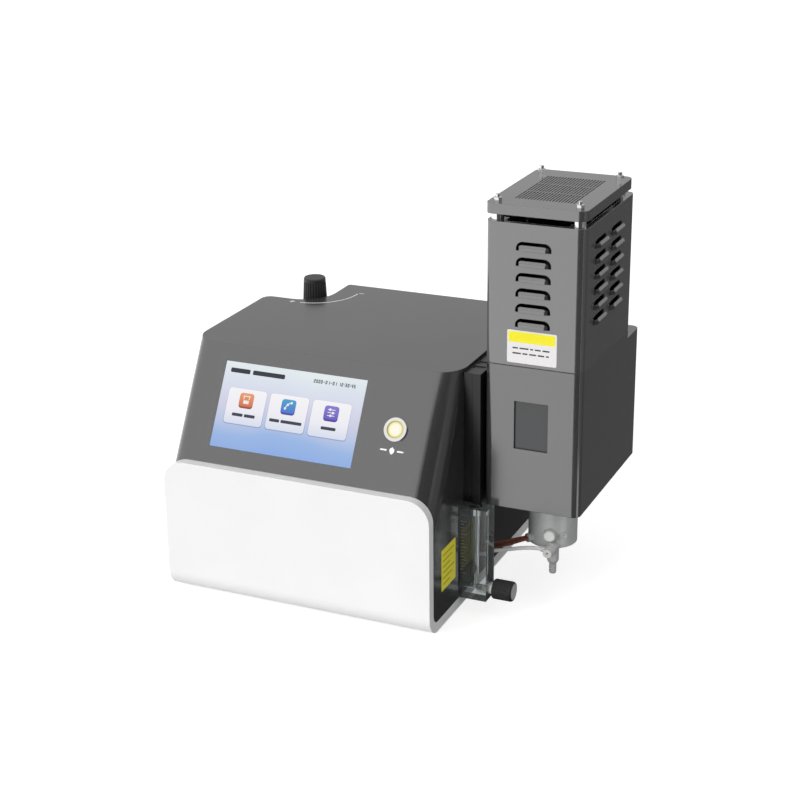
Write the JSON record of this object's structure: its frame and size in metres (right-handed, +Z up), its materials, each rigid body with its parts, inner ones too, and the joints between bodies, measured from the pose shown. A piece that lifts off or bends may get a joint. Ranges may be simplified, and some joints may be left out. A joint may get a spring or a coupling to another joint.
{
  "type": "flame photometer",
  "caption": "Bench flame photometer with a leaning touch display and ignition button, a fuel knob, an acrylic flow meter and a louvred burner tower on a side bracket.",
  "frame": {"origin": "on the bench, under the middle of the instrument's overall width and depth", "axes": "+X to the right seen from the front, +Y to the back, +Z up"},
  "size_m": [0.4124, 0.324, 0.427],
  "materials": {
    "cover_white": "satin white moulding",
    "housing_grey": "fine satin grey powder coat",
    "tower_grey": "fine satin grey powder coat",
    "bracket_dark": "dark satin powder coat",
    "zinc_steel": "zinc plated sheet",
    "bright_steel": "bright plated",
    "rubber_black": "matte",
    "display_glass": "glossy touch glass over a lit screen",
    "electronics_black": "matte",
    "button_ring": "satin chrome",
    "button_lens": "lit translucent",
    "knob_black": "satin black",
    "brass": "machined",
    "acrylic": "polished clear acrylic",
    "float_red": "satin",
    "gland_white": "satin",
    "burnt_steel": "heat darkened",
    "tower_window": "dark heat glass",
    "standoff_white": "bright turned",
    "chamber_grey": "satin turned",
    "plug_white": "satin",
    "copper": "drawn copper",
    "tube_clear": "clear flexible tube",
    "ceramic": "glazed ceramic",
    "lens_glass": "polished",
    "board_green": "circuit board",
    "coil_blue": "moulded coil"
  },
  "bodies": {
    "machine": {"front_cover": "cover_white", "main_housing": "housing_grey", "rear_panel": "housing_grey", "chassis_plate": "zinc_steel", "rubber_feet": "rubber_black", "rear_screws": "bright_steel", "display_glass": "display_glass", "display_module": "electronics_black", "display_bracket": "zinc_steel", "button_bezel": "button_ring", "button_nut": "bright_steel", "button_switch": "electronics_black", "fuel_valve": "brass", "fuel_valve_nut": "bright_steel", "flowmeter_block": "acrylic", "flowmeter_plug": "bright_steel", "flowmeter_fittings": "brass", "flow_valve_gland": "gland_white", "side_bracket": "bracket_dark", "bracket_bolts": "zinc_steel", "optical_tube": "electronics_black", "burner_housing": "tower_grey", "burner_back": "tower_grey", "burner_floor": "zinc_steel", "window_glass": "tower_window", "chimney_cover": "tower_grey", "inner_chimney": "burnt_steel", "top_plate": "tower_grey", "plate_standoffs": "standoff_white", "plate_nuts": "bright_steel", "burner_head": "burnt_steel", "mixing_chamber": "chamber_grey", "chamber_cap": "chamber_grey", "chamber_collar": "zinc_steel", "port_plug": "plug_white", "nebuliser": "chamber_grey", "drain_elbow": "chamber_grey", "copper_pipes": "copper", "air_tube": "tube_clear", "wall_fittings": "brass", "igniter": "ceramic", "ignition_module": "electronics_black", "optics_mount": "zinc_steel", "lens": "lens_glass", "detector_housing": "electronics_black", "detector_board": "board_green", "main_board": "board_green", "power_supply": "zinc_steel", "solenoid_valve": "coil_blue", "gas_regulator": "zinc_steel", "power_inlet": "electronics_black", "hose_inlets": "brass"},
    "button": {"button_lens": "button_lens"},
    "fuel_control": {"fuel_knob": "knob_black", "fuel_valve_stem": "bright_steel"},
    "flow_control": {"flow_knob": "knob_black", "flow_knob_cap": "bright_steel", "flow_valve_stem": "bright_steel"},
    "float": {"flowmeter_float": "float_red"},
    "mains_rocker": {"power_rocker": "knob_black"}
  },
  "joints": [
    {"name": "ignition_press", "type": "slide", "parent": "machine", "child": "button", "axis": [0, 0.866, -0.5], "range_m": [0, 0.0025], "stiffness_N_per_m": 300, "springref_m": -0.003},
    {"name": "fuel_knob_turn", "type": "hinge", "parent": "machine", "child": "fuel_control", "pos_m": [-0.16525, 0.105, 0.231], "axis": [0, 0, 1], "range_deg": [-135, 135]},
    {"name": "flow_knob_turn", "type": "hinge", "parent": "machine", "child": "flow_control", "pos_m": [0.11875, -0.0785, 0.028], "axis": [1, 0, 0], "range_deg": [0, 1080]},
    {"name": "float_rise", "type": "slide", "parent": "machine", "child": "float", "axis": [0, 0, 1], "range_m": [0, 0.052]},
    {"name": "mains_rocker_tip", "type": "hinge", "parent": "machine", "child": "mains_rocker", "pos_m": [0.03775, 0.136, 0.03975], "axis": [1, 0, 0], "range_deg": [-18, 0]}
  ]
}
